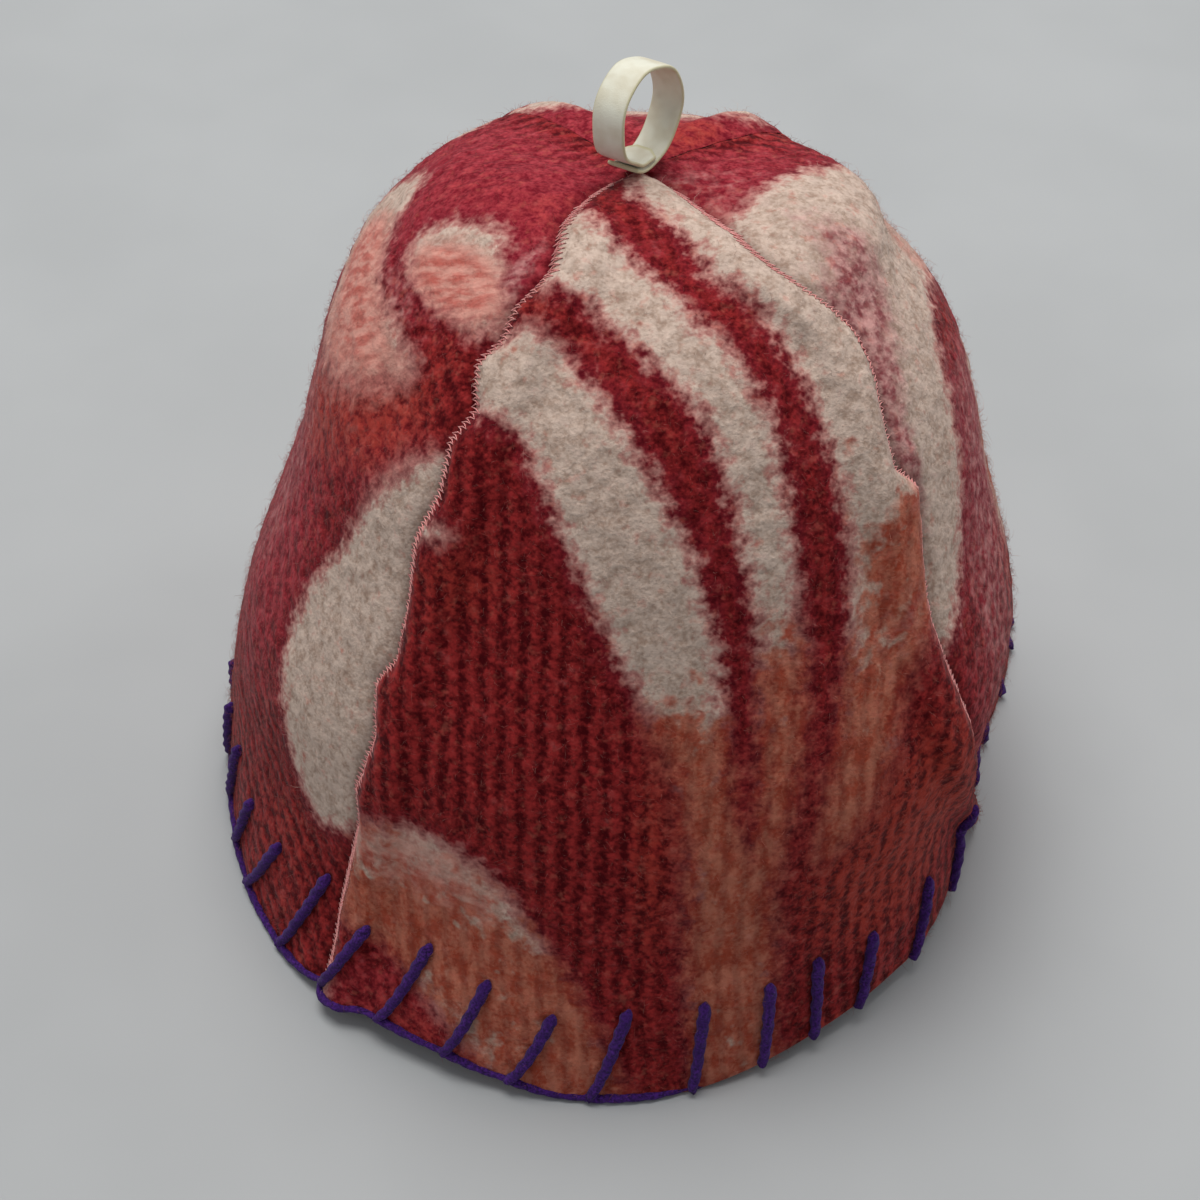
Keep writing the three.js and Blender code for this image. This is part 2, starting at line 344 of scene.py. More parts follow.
def edge_distance(gore, azimuth, v):
    """Distance from the nearer cut edge, and how flush that edge lies, 0 to 1.

    The edge is the gore's own if it lies on top. Otherwise it is the neighbour's, and the
    distance is negative under the neighbour.
    """
    first, second = gore["seams"]
    start, end = seam_azimuths(gore, v)
    radius = radius_at(azimuth, v)
    out = -1 if gore["over"] else 1
    from_start = (azimuth - start) * radius - out * wander(first, v)
    from_end = (end - azimuth) * radius - out * wander(second, v)
    nearest = np.where(from_start < from_end, first in FLUSH_SEAMS, second in FLUSH_SEAMS)
    flush = nearest * (1 - smoothstep(v, *FLUSH_ABOVE))
    return np.minimum(from_start, from_end), flush


def edge_share(inward, flush):
    """1 at a cut edge, falling to 0 where the seam no longer pulls the wool down."""
    return np.clip(1 - inward / (EDGE_ROUND + FLUSH_ROUND * flush), 0, 1) ** 1.6


def weave_place(gore, azimuth, v):
    """Place in the cloth: metres across its ribs and down along them."""
    across = (azimuth - math.radians(gore["middle"])) * radius_at(azimuth, v)
    down = v * scales(azimuth, np.full_like(v, 0.5))[1]
    turn = math.radians(gore["grain"])
    x = across * math.cos(turn) - down * math.sin(turn)
    y = across * math.sin(turn) + down * math.cos(turn)
    return x, y


def ribbing(gore, azimuth, v, points):
    """Height of the knitted ribs and courses, -1 to 1."""
    x, y = weave_place(gore, azimuth, v)
    x = x + RIB_BEND * value_noise(points, RIB_BEND_CELL, 5)
    y = y + COURSE_BEND * value_noise(points, COURSE_BEND_CELL, 6)
    ribs = np.cos(2 * math.pi * x / RIB_PITCH)
    courses = np.cos(2 * math.pi * y / COURSE_PITCH + 1.2 * ribs)
    return 0.65 * ribs + 0.35 * courses


def gore_top(gore, azimuth, v, rib_share=0.0):
    """Points of a gore's finished outside."""
    points, normal = surface(azimuth, v)
    height = fold_height(azimuth, v)
    settle = smoothstep(1 - v, 0, SETTLED)
    inward, flush = edge_distance(gore, azimuth, v)
    if gore["over"]:
        height = height + over_height(gore, azimuth, v)
        height = height - (EDGE_SINK - FLUSH_RAISE * flush) * edge_share(inward, flush)
    else:
        near_seam = np.exp(-(np.maximum(inward, 0) / SEAM_DIP_REACH) ** 2)
        fill = FLUSH_FILL * smoothstep(inward, -1.0 * MM, 0.3 * MM)
        height = height + near_seam * (fill * flush - SEAM_DIP * (1 - flush))
    relief = RIB_RELIEF * ribbing(gore, azimuth, v, points) * rib_share
    for seed, (rise, cell) in enumerate(LUMPS, 1):
        relief += rise * MM * value_noise(points, cell * MM, seed)
    rim_round = RIM_DROP * (1 - smoothstep((1 - v) * SIDE_LENGTH, 0, RIM_ROUND)) ** 2
    points = points + normal * (height + relief * settle - rim_round)[..., None]
    points[..., 2] = np.maximum(points[..., 2], 0)
    return points


# ---- The blanket's pattern ----
# Outlines of the pale patches: azimuth (degrees), hundredths of the way down.
PALE = {
    "front_gore": (
        # the lowest band and the column that it runs down into
        ((-38, 31), (-33, 28), (-25, 25.5), (-17, 27), (-11, 29.5), (-5, 32.5), (0, 36.5),
         (5, 41.5), (9, 46), (11, 50), (12.5, 54), (13.5, 58), (14, 63), (14.5, 68),
         (16, 72), (20, 78), (21.5, 84), (21, 92), (20, 103), (11, 103), (10, 94),
         (10, 84), (9.5, 75), (8, 68), (5.5, 63.5), (2, 59), (-2, 55), (-6, 50.5),
         (-11, 45.5), (-16, 41), (-22, 37), (-30, 36.5), (-36, 35)),
        # the middle band
        ((-39, 13), (-33, 10), (-22, 10.5), (-10, 12), (-3, 13.5), (4, 15.5), (9, 18),
         (12, 21.5), (18, 24.5), (21, 29), (24, 35), (25, 42), (25, 50), (25, 58),
         (24, 65), (22, 71), (20, 78), (17, 76), (18.5, 68), (19, 58), (17.5, 50),
         (15.5, 42), (13, 36), (9, 31), (3, 27.5), (-3, 24), (-9, 22.5), (-14, 20.5),
         (-22, 20), (-30, 19.5), (-37, 17)),
        # the band along the right seam, from the apex
        ((-12, 0), (-8, 6), (5, 7.5), (14, 9.5), (19, 12.5), (20, 16), (26, 19), (29, 24),
         (31, 29.5), (33, 36), (34, 43), (34, 49), (33, 55), (31, 61), (29, 66), (27, 71),
         (27, 76), (31, 75), (35, 71), (38, 67), (41, 62), (47, 59), (54, 56), (58, 51),
         (56, 42), (54, 30), (50, 20), (46, 12), (46, 0)),
        # the blob at the lower left
        ((-48, 80), (-40, 78.5), (-30, 76.5), (-20, 77), (-13, 80), (-8, 84), (-4, 89),
         (-1, 95), (0, 104), (-14, 104), (-20, 97), (-27, 93), (-36, 90), (-48, 89)),
        # a tuft on the left seam
        ((-37, 49.2), (-33, 48.5), (-29.5, 48.7), (-31, 49.4), (-36, 50.2)),
        # and a spot at its lower end
        ((-47, 96.5), (-44, 95.8), (-42, 97), (-43, 99.5), (-46, 100)),
    ),
    "left_gore": (
        # the oval beside the seam, the crescent across it, then the silhouette and the back
        ((-74, 20), (-66, 16.5), (-54, 15), (-46, 16.8), (-40, 20), (-35, 22.5), (-34, 26),
         (-38, 28), (-46, 27.5), (-57, 27), (-68, 26.5), (-74, 24)),
        ((-26, 42), (-38, 43.5), (-44, 46.5), (-49, 50.5), (-54, 56), (-59, 61.5), (-61, 67),
         (-58, 73), (-54, 78.5), (-49, 82), (-43, 81.5), (-38, 80), (-30, 74), (-26, 60)),
        ((-88, 25), (-80, 28.8), (-71, 31), (-62, 32), (-55, 33.5), (-50, 35.5), (-54, 38),
         (-61, 40.5), (-68, 42.5), (-78, 44), (-90, 44), (-100, 41), (-110, 36), (-112, 28),
         (-106, 21), (-96, 20)),
        ((-128, 60), (-116, 54), (-106, 62), (-104, 76), (-114, 88), (-126, 82)),
        ((-142, 22), (-132, 19), (-124, 22), (-126, 28), (-136, 30)),
    ),
    "right_gore": (
        ((34, 13), (42, 9.3), (56, 8.7), (72, 8.6), (88, 9.6), (98, 12), (104, 16), (104, 24),
         (104, 34), (98, 38), (86, 36), (78, 36), (72, 38), (67, 42.5), (64, 48), (61, 53),
         (57, 58), (52, 62), (44, 62), (38, 45), (36, 22)),
        ((80, 50), (84, 46), (92, 46), (96, 54), (92, 62), (84, 66), (79, 62), (77, 56)),
        ((112, 60), (122, 54), (134, 60), (140, 74), (132, 86), (118, 82), (110, 70)),
    ),
    "back_gore": (
        ((136, 15), (146, 12.5), (158, 12), (172, 12.5), (190, 12), (204, 12), (214, 14),
         (222, 18), (208, 19), (190, 17.5), (172, 18.5), (156, 18), (142, 19)),
        ((128, 33), (140, 27), (152, 26), (165, 31), (177, 42), (186, 56), (190, 72),
         (184, 82), (176, 72), (168, 56), (156, 44), (142, 38), (128, 40)),
        ((196, 34), (206, 27), (228, 26), (230, 48), (214, 56), (204, 52), (197, 43)),
        ((130, 84), (146, 77), (160, 80), (168, 90), (166, 104), (130, 104)),
        ((200, 80), (214, 74), (226, 80), (226, 92), (210, 96), (202, 90)),
    ),
}

# Soft stains of another tone: azimuth, hundredths down, half width (degrees), half height
# (hundredths), strength. coral: on the pale wool; rose: on the red ground; ember: orange
# loops that show through the red ground; mauve and blush: on both.
STAINS = {
    "front_gore": {
        "coral": ((6, 65, 9, 6.5, 1), (15, 70, 9, 8, 1), (16, 86, 13, 14, 1), (16, 102, 13, 9, 1),
                  (23, 63, 7, 9, 0.9), (22, 75, 8, 8, 1), (46, 53, 11, 7, 1),
                  (38, 63, 12, 6, 1), (30, 72, 12, 9, 1), (-10, 90, 14, 6.5, 1),
                  (-25, 87.5, 15, 5.5, 0.95), (-40, 90, 10, 7, 1), (-8, 99, 14, 8, 1),
                  (-34, 81, 18, 5, 0.5), (-14, 84, 12, 5, 0.4)),
        "rose": ((-30, 98, 22, 8, 0.5), (42, 90, 20, 12, 0.3), (-4, 12, 24, 4, 0.3)),
        "ember": ((-27, 52, 9, 6, 0.45), (5, 72, 5, 14, 0.5), (42, 80, 18, 14, 0.9),
                  (-28, 23, 8, 3, 0.5), (-14, 25, 9, 3, 0.3), (-20, 97, 22, 4, 0.5),
                  (20, 22, 8, 4, 0.2), (30, 101, 70, 3, 0.9)),
        "mauve": ((47, 40, 4, 5, 0.5), (44, 58, 8, 4, 0.3)),
        "blush": ((24, 56, 5, 5, 0.25), (50, 47, 5, 6, 0.5), (-28, 80, 20, 5, 0.5)),
    },
    "left_gore": {
        "coral": ((-60, 90, 12, 6, 0.3), (-114, 76, 12, 10, 0.8)),
        "rose": ((-75, 14, 60, 17, 1), (-80, 62, 24, 22, 0.75), (-120, 45, 24, 40, 0.8),
                 (-62, 92, 20, 9, 0.3), (-50, 45, 18, 8, 0.6)),
        "ember": ((-45, 10, 20, 6, 0.4), (-58, 42, 22, 8, 0.9), (-78, 49, 16, 6, 0.8),
                  (-42, 31, 8, 4, 0.3), (-60, 90, 16, 9, 0.4), (-80, 13, 20, 5, 0.3)),
        "mauve": ((-84, 55, 12, 16, 0.45), (-66, 29, 16, 3, 0.35), (-37, 19, 4, 5, 0.7)),
        "blush": ((-53, 24, 20, 6, 1), (-90, 33, 16, 8, 0.9), (-72, 36, 14, 6, 0.8),
                  (-56, 38, 12, 5, 0.6), (-70, 46, 26, 7, 0.8)),
    },
    "right_gore": {
        "coral": ((88, 56, 10, 10, 0.9), (100, 26, 12, 10, 0.25)),
        "rose": ((75, 4, 60, 7, 1), (57, 27, 14, 14, 1), (72, 52, 20, 12, 0.8),
                 (110, 40, 22, 40, 0.7), (60, 75, 20, 16, 0.5)),
        "ember": ((80, 62, 12, 10, 0.6), (66, 5, 16, 3, 0.5), (45, 9, 12, 4, 0.5),
                  (95, 101, 40, 3, 0.8)),
        "mauve": ((54, 27, 11, 8, 1), (63, 20, 10, 8, 0.8), (50, 35, 6, 6, 0.9),
                  (49, 44, 3, 8, 0.9), (70, 4, 34, 5, 0.45), (74, 50, 10, 12, 0.5),
                  (66, 66, 10, 16, 0.5)),
        "blush": ((96, 30, 9, 14, 0.4), (92, 50, 6, 20, 0.4), (62, 5, 30, 4, 0.4)),
    },
    "back_gore": {
        "coral": ((170, 10, 40, 4, 0.3), (186, 72, 9, 14, 1), (152, 92, 16, 8, 0.9),
                  (212, 50, 12, 8, 0.8)),
        "rose": ((176, 20, 50, 14, 1), (200, 66, 30, 14, 0.5), (140, 5, 30, 8, 1),
                 (215, 6, 30, 8, 1)),
        "ember": ((150, 60, 16, 10, 0.6), (214, 66, 14, 6, 0.6), (145, 8, 20, 4, 0.7)),
        "mauve": ((160, 34, 16, 8, 0.5),),
        "blush": ((214, 38, 12, 10, 0.7), (170, 15, 40, 4, 0.3)),
    },
}


def closed_curve(outline, steps=4):
    """A smooth closed line through given points, as a fine polygon."""
    points = np.array(outline, float)
    n = len(points)
    w = (np.arange(steps) / steps)[:, None]
    parts = [hermite(*(points[(i + k) % n] for k in (-1, 0, 1, 2)), w) for i in range(n)]
    return np.concatenate(parts)


def inside_by(azimuth, v, outline):
    """Distance inside a closed outline in metres, negative outside it."""
    polygon = closed_curve(outline)
    middle = polygon[:, 0].mean()
    across, down = scales(azimuth, v)
    x = degrees_apart(azimuth, middle) + middle
    y = v * 100
    nearest = np.full(x.shape, 1.0)
    inside = np.zeros(x.shape, bool)
    for (ax, ay), (bx, by) in zip(polygon, np.roll(polygon, -1, axis=0)):
        ux, uy = (bx - ax) * across, (by - ay) / 100 * down
        px, py = (x - ax) * across, (y - ay) / 100 * down
        t = np.clip((px * ux + py * uy) / (ux * ux + uy * uy + 1e-12), 0, 1)
        nearest = np.minimum(nearest, np.hypot(px - t * ux, py - t * uy))
        if ay != by:
            crosses = (ay > y) != (by > y)
            inside ^= crosses & (x < ax + (y - ay) / (by - ay) * (bx - ax))
    return np.where(inside, nearest, -nearest)


def stain(azimuth, v, spots):
    left = np.ones_like(azimuth)
    for place, percent, half_width, half_height, strength in spots:
        x = degrees_apart(azimuth, place) / half_width
        y = (v * 100 - percent) / half_height
        left *= 1 - strength * np.exp(-(x * x + y * y) ** 1.5)
    return 1 - left


def wool_tones(name, azimuth, v):
    """What the wool's material reads at each point: see wool_marks()."""
    gore = GORES[name]
    pale = np.max([inside_by(azimuth, v, outline) for outline in PALE[name]], axis=0)
    x, y = weave_place(gore, azimuth, v)
    tones = {kind: stain(azimuth, v, spots) for kind, spots in STAINS[name].items()}
    # painted shade: beside the edge of the gore over it, the lower layer's colour is darkened
    # where shade falls in the lap's corner
    shade = np.zeros_like(azimuth)
    if not gore["over"]:
        inward, flush = edge_distance(gore, azimuth, v)
        shade = (1 - flush) * np.exp(-(np.maximum(inward, 0) / PAINTED_SHADE_REACH) ** 2)
    return {"pale": pale * 1000, "across": x * 1000, "down": y * 1000, "shade": shade, **tones}


# ---- Meshes ----
def new_piece(name, points, faces, material, slot, attributes=None):
    mesh = bpy.data.meshes.new(name)
    mesh.from_pydata(np.asarray(points).reshape(-1, 3).tolist(), [], faces)
    mesh.shade_smooth()
    for key, values in (attributes or {}).items():
        layer = mesh.attributes.new(key, "FLOAT", "POINT")
        layer.data.foreach_set("value", np.asarray(values, np.float32).ravel())
    mesh.materials.append(material)
    mesh.update()
    piece = bpy.data.objects.new(name, mesh)
    bpy.context.scene.collection.objects.link(piece)
    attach(piece, BODY)
    return piece


def grid_faces(rows, columns, start=0, ring=False, order=(0, 1, 2, 3)):
    """Quads of a grid of points; in a ring, each row's last point meets its first."""
    width = columns if ring else columns + 1
    i, j = np.meshgrid(np.arange(rows), np.arange(columns), indexing="ij")
    here, beside = start + i * width + j, start + i * width + (j + 1) % width
    quads = np.stack((here, here + width, beside + width, beside), -1)
    return quads[..., order].reshape(-1, 4).tolist()


def border(rows, columns, start):
    """Indices round a grid's border, anticlockwise seen from outside."""
    down = [(i, 0) for i in range(rows)]
    right = [(rows, j) for j in range(columns)]
    up = [(i, columns) for i in range(rows, 0, -1)]
    left = [(0, j) for j in range(columns, 0, -1)]
    return [start + i * (columns + 1) + j for i, j in down + right + up + left]


def make_gore(name, material):
    """A closed sheet of wool: a fine outside, a coarser inside and a wall between them."""
    gore = GORES[name]
    rows = np.linspace(0, 1, GORE_ROWS + 1)
    columns = np.linspace(0, 1, GORE_COLUMNS + 1)
    share, v = np.meshgrid(columns, TIP_SHARE + (1 - TIP_SHARE) * rows)
    azimuth = gore_azimuth(gore, share, v)
    tones = wool_tones(name, azimuth, v)
    rib_share = (1 - smoothstep(tones["pale"], -1.5, 1.5)) * (1 - 0.6 * tones["rose"])
    outside = gore_top(gore, azimuth, v, RIBS_ON_PALE + (1 - RIBS_ON_PALE) * rib_share)
    every = (slice(None, None, 2), slice(None, None, 2))
    inner_v, inner_azimuth = v[every], azimuth[every]
    points, normal = surface(inner_azimuth, inner_v)
    depth = fold_height(inner_azimuth, inner_v) - WALL
    if gore["over"]:
        inward, flush = edge_distance(gore, inner_azimuth, inner_v)
        sink = EDGE_SINK_INSIDE * (1 - flush)
        depth += over_height(gore, inner_azimuth, inner_v) - sink * edge_share(inward, flush)
    rise, cell = INSIDE_LUMPS
    inside = points + normal * (depth + rise * value_noise(points, cell, 9))[..., None]
    start = outside[..., 0].size
    half_rows, half_columns = GORE_ROWS // 2, GORE_COLUMNS // 2
    faces = grid_faces(GORE_ROWS, GORE_COLUMNS)
    faces += grid_faces(half_rows, half_columns, start, order=(3, 2, 1, 0))
    fine = border(GORE_ROWS, GORE_COLUMNS, 0)
    coarse = border(half_rows, half_columns, start)
    for k, low in enumerate(coarse):
        next_low = coarse[(k + 1) % len(coarse)]
        a, b, c = (fine[(2 * k + n) % len(fine)] for n in range(3))
        faces += [(a, low, b), (b, low, next_low), (b, next_low, c)]
    # the inside gets no painted shade
    inner_tones = {**tones, "shade": np.zeros_like(v)}
    attributes = {key: np.concatenate((tones[key].ravel(), inner_tones[key][every].ravel()))
                  for key in tones}
    everything = np.concatenate((outside.reshape(-1, 3), inside.reshape(-1, 3)))
    piece = new_piece(name + "_wool", everything, faces, material, "fulled_wool", attributes)
    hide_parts(name)


FIBRES = 9500  # on each gore
FIBRES_FROM, FIBRES_TO = 0.02, 0.995  # share of the way down
FIBRE_MARGIN = 0.1  # share of a lower gore's width without any, at each edge
FIBRE_ROOT = 0.3 * MM  # how deep its root is
FIBRE_LENGTH = (4, 0.42)  # its gamma distribution's shape and scale (mm)
FIBRE_LEAST = 0.7 * MM
FIBRE_RADIUS = 0.042 * MM
FIBRE_TAPER = 0.8  # of its radius, at the bend
FIBRE_SIDES = 3


def make_fuzz(name, material, random):
    """Loose fibres standing off a gore, each a thin cone with one bend."""
    gore = GORES[name]
    v = np.sqrt(random.uniform(FIBRES_FROM ** 2, FIBRES_TO ** 2, FIBRES))
    margin = 0 if gore["over"] else FIBRE_MARGIN
    azimuth = gore_azimuth(gore, random.uniform(margin, 1 - margin, FIBRES), v)
    tones = wool_tones(name, azimuth, v)
    normal = surface(azimuth, v)[1]
    root = gore_top(gore, azimuth, v) - normal * FIBRE_ROOT
    lean, curl = (unit(np.cross(normal, random.normal(size=(FIBRES, 3)))) for _ in range(2))
    length = (random.gamma(*FIBRE_LENGTH, FIBRES) * MM + FIBRE_LEAST)[:, None]
    bend = root + length * (0.40 * normal + 0.32 * lean)
    tip = bend + length * (0.16 * normal + 0.35 * lean + 0.38 * curl)
    thick = (FIBRE_RADIUS * random.uniform(0.7, 1.25, FIBRES))[:, None]
    side = unit(np.cross(normal, lean))
    corners = []
    for centre, radius in ((root, thick), (bend, thick * FIBRE_TAPER)):
        for angle in 2 * math.pi * np.arange(FIBRE_SIDES) / FIBRE_SIDES:
            corners.append(centre + radius * (math.cos(angle) * side + math.sin(angle) * normal))
    points = np.stack(corners + [tip], 1)
    points[..., 2] = np.maximum(points[..., 2], 0)
    one = [(0, *range(FIBRE_SIDES - 1, 0, -1))]
    for k in range(FIBRE_SIDES):
        n = (k + 1) % FIBRE_SIDES
        low, high = (k, n), (FIBRE_SIDES + k, FIBRE_SIDES + n)
        one += [(*low, high[1]), (low[0], high[1], high[0]), (*high, 2 * FIBRE_SIDES)]
    corner_count = points.shape[1]
    starts = corner_count * np.arange(FIBRES)[:, None, None]
    faces = (np.array(one) + starts).reshape(-1, 3).tolist()
    attributes = {key: np.repeat(values, corner_count) for key, values in tones.items()}
    new_piece(name + "_fuzz", points, faces, material, "fulled_wool", attributes)


YARN_PLIES = 3
YARN_LAY = 16 * MM  # length in which its plies turn once
PLY_SWELL = 0.13  # how far they swell and shrink its radius, share of it


def tube(path, radius, sides, plies=False):
    """Points and faces of a closed tube along a path; plies show as turning lobes.

    The radius is a number, or one for each point of the path.
    """
    path = np.asarray(path)
    count = len(path)
    radius = np.broadcast_to(radius, (count,))
    tangent = unit(np.gradient(path, axis=0))
    reference = np.cross(tangent[0], (0.31, 0.67, 0.67))
    length = lengths_along(path)
    angles = 2 * math.pi * np.arange(sides) / sides
    points = []
    for k in range(count):
        reference = unit(reference - tangent[k] * reference.dot(tangent[k]))
        other = np.cross(tangent[k], reference)
        turned = YARN_PLIES * (angles - 2 * math.pi * length[k] / YARN_LAY)
        ring = radius[k] * (1 + PLY_SWELL * plies * np.cos(turned))
        points.append(path[k] + np.outer(ring * np.cos(angles), reference)
                      + np.outer(ring * np.sin(angles), other))
    points = np.concatenate(points + [path[:1], path[-1:]])
    first, last = count * sides, count * sides + 1
    faces = grid_faces(count - 1, sides, ring=True, order=(0, 3, 2, 1))
    for s in range(sides):
        n = (s + 1) % sides
        faces.append((first, n, s))
        faces.append((last, first - sides + s, first - sides + n))
    return points, faces


def joined(parts):
    """Several (points, faces) as one pair of lists."""
    points, faces, start = [], [], 0
    for part_points, part_faces in parts:
        points.append(part_points)
        faces += [tuple(i + start for i in face) for face in part_faces]
        start += len(part_points)
    return np.concatenate(points), faces


def smooth_path(points, step, lowest):
    """A Catmull-Rom path through points, resampled about every step and nowhere lower."""
    points = np.asarray(points)
    t = np.linspace(0, 1, 12 * (len(points) - 1) + 1)
    fine = along(points, t)
    length = lengths_along(fine)
    count = max(3, int(length[-1] / step) + 1)
    at = np.linspace(0, length[-1], count)
    x, y, z = (np.interp(at, length, values) for values in fine.T)
    return np.stack((x, y, np.maximum(z, lowest)), -1)


# ---- Zigzag seams ----
ZIGZAG_STEP = 0.85 * MM
ZIGZAG_INSIDE = 2.5 * MM  # how far it reaches in from the cut edge
ZIGZAG_OUTSIDE = 1.6 * MM  # and out from it
ZIGZAG_OVER = 0.3 * MM  # where it bends over the edge
ZIGZAG_END = 0.985  # share of the way down
UNEVEN_DOWN = 0.0004  # how uneven its stitches are, as a share of the way down
UNEVEN_INSIDE, UNEVEN_OUTSIDE = 0.25, 0.2  # and in mm
THREAD_RADIUS = 0.19 * MM
THREAD_SIDES = 5
THREAD_SUNK = 0.42 * MM  # how far fulled wool has closed over it
# Where the thread comes to the surface, share of the way down.
ZIGZAG_START = {"left_front": 0.035, "right_front": 0.05, "right_back": 0.24, "left_back": 0.24}
# From where to where the wool has closed over most of it.
ZIGZAG_SUNK = {"left_front": (0.52, 0.80), "right_front": (0.34, 1.1), "right_back": (0.5, 0.6),
               "left_back": (0.6, 0.72)}
SUNK_FADE = 0.05  # share of the way down in which it closes and opens again


def make_zigzag(seam, gore_name, sign, material, random):
    """Thread over an upper gore's cut edge; sign is +1 where the gore lies to the right."""
    gore = GORES[gore_name]
    own_side = 0 if sign > 0 else 1
    v = np.linspace(ZIGZAG_START[seam], ZIGZAG_END, 2000)
    azimuth = gore_azimuth(gore, own_side, v)
    length = lengths_along(smooth_point(azimuth, v))
    count = int(length[-1] / ZIGZAG_STEP)
    at = np.interp(np.linspace(0, length[-1], count), length, v)
    at = at + random.normal(0, UNEVEN_DOWN, count)
    edge = gore_azimuth(gore, own_side, at)
    radius = radius_at(edge, at)
    inner = edge + sign * (ZIGZAG_INSIDE + random.normal(0, UNEVEN_INSIDE, count) * MM) / radius
    outer = edge - sign * (ZIGZAG_OUTSIDE + random.normal(0, UNEVEN_OUTSIDE, count) * MM) / radius
    over = edge + sign * ZIGZAG_OVER / radius
    sunk_from, sunk_to = ZIGZAG_SUNK[seam]
    sunk = smoothstep(at, sunk_from, sunk_from + SUNK_FADE)
    sunk = sunk * (1 - smoothstep(at, sunk_to, sunk_to + SUNK_FADE))
    lifted = (THREAD_RADIUS * 0.8 - THREAD_SUNK * sunk)[:, None]
    high = gore_top(gore, inner, at) + surface(inner, at)[1] * lifted
    top = gore_top(gore, over, at) + surface(over, at)[1] * (lifted + 0.25 * MM)
    ground, normal = surface(outer, at)
    low_height = fold_height(outer, at) - SEAM_DIP + 0.4 * MM - 0.5 * THREAD_SUNK * sunk
    low = ground + normal * low_height[:, None]
    path = []
    for k in range(count):
        path += [high[k] if k % 2 else low[k], top[k]]
    new_piece("zigzag_" + seam, *tube(path, THREAD_RADIUS, THREAD_SIDES), material, "seam_thread")


# ---- Yarn edging ----
LEG_RADIUS = 1.75 * MM  # the yarn where it lies loose on the wool
RUN_RADIUS = 1.15 * MM  # and where it is drawn tight along the rim
LEG_STEP, RUN_STEP, INSIDE_STEP = 0.6 * MM, 0.9 * MM, 1.2 * MM
# The yarn's middle stays this high above the floor, so that its plies clear it.
LEG_LOWEST, RUN_LOWEST, INSIDE_LOWEST = 1.2 * LEG_RADIUS, 1.32 * RUN_RADIUS, 1.26 * RUN_RADIUS
STITCH_SHARE = 0.885  # where the stitches start, share of the way down
STITCH_UNEVEN = 0.012
STITCH_GAP = 21.5 * MM  # between the stitches behind
LEG_END = 0.992  # share of the way down where a leg ends outside
INSIDE_END = 0.985  # and inside
RUN_SHARE = 0.9999  # of the yarn along the rim
YARN_SIDES = 12
UPPER_FIRST = ("front_gore", "back_gore", "left_gore", "right_gore")
# How far outside the smooth rim the yarn runs along it: azimuth (degrees), mm.
RUN_FROM = -95
RUN_OUT = ((RUN_FROM, 0.7), (4, 0.7), (14, -1.6), (120, -1.6), (140, 0.3), (265, 0.7))
# Azimuth of each stitch on the front at its inner end, and how far its foot lies back.
FRONT_STITCHES = (
    (-77, 7), (-68, 7), (-58, 9), (-46, 9), (-36, 8.5), (-26, 8), (-17, 7), (-8, 7), (2, 6.5),
    (12, 3), (21, 2), (28.5, 1.5), (38, 3), (51, 4), (64, 2), (87, 1), (96, 1), (104.5, 0.5),
    (111, -1),
)


def stitch_places(random):
    """(azimuth, foot azimuth) of all stitches round the rim, in degrees."""
    places = [(inner, inner - lean) for inner, lean in FRONT_STITCHES]
    last, first = FRONT_STITCHES[-1][0], FRONT_STITCHES[0][0]
    span = np.radians(np.linspace(last, 360 + first, 400))
    length = lengths_along(smooth_point(span, np.ones_like(span)))
    count = round(length[-1] / STITCH_GAP)
    for k in range(1, count):
        inner = float(np.interp(length[-1] * k / count, length, np.degrees(span)))
        inner += random.uniform(-1.2, 1.2)
        places.append((inner, inner - random.uniform(3, 6.5)))
    return places


def on_gores(degrees, share, lift):
    """A point above whichever gore lies outside there."""
    v = np.array([share])
    for name in UPPER_FIRST:
        gore = GORES[name]
        low, high = (np.degrees(gore_azimuth(gore, side, v)) for side in (0, 1))
        inward = (degrees - low) % 360
        if inward <= high - low:
            azimuth = np.radians(low + inward)
            return (gore_top(gore, azimuth, v) + surface(azimuth, v)[1] * lift)[0]


def outer_leg(inner, foot, share):
    """Path and radii of a stitch's leg down the outside, blunt at its start."""
    points = []
    for t in np.linspace(0, 1, 8):
        lift = LEG_RADIUS * (0.4 + 0.2 * math.sin(math.pi * t))
        points.append(on_gores(inner + (foot - inner) * t, share + (LEG_END - share) * t, lift))
    path = smooth_path(points, LEG_STEP, LEG_LOWEST)
    t = np.linspace(0, 1, len(path))
    blunt = np.sqrt(np.clip(t / 0.07, 0.05, 1))
    return path, LEG_RADIUS * blunt * (1 - 0.22 * t)


def rim_run(foot, following):
    """Path and radii of the yarn along the rim from a stitch's foot to the next one's."""
    points = []
    for t in np.linspace(-0.03, 1.02, 12):
        degrees = foot + (following - foot) % 360 * t
        out = np.interp((degrees - RUN_FROM) % 360 + RUN_FROM, *zip(*RUN_OUT)) * MM
        point = on_gores(degrees, RUN_SHARE, out)
        rim = smooth_point(np.radians([degrees]), np.ones(1))[0][2]
        point[2] = rim + RUN_RADIUS * 0.9 + 0.6 * MM * (1 - math.sin(math.pi * t))
        points.append(point)
    path = smooth_path(points, RUN_STEP, RUN_LOWEST)
    t = np.linspace(0, 1, len(path))
    return path, RUN_RADIUS * (1.15 - 0.35 * smoothstep(t, 0.1, 0.9))


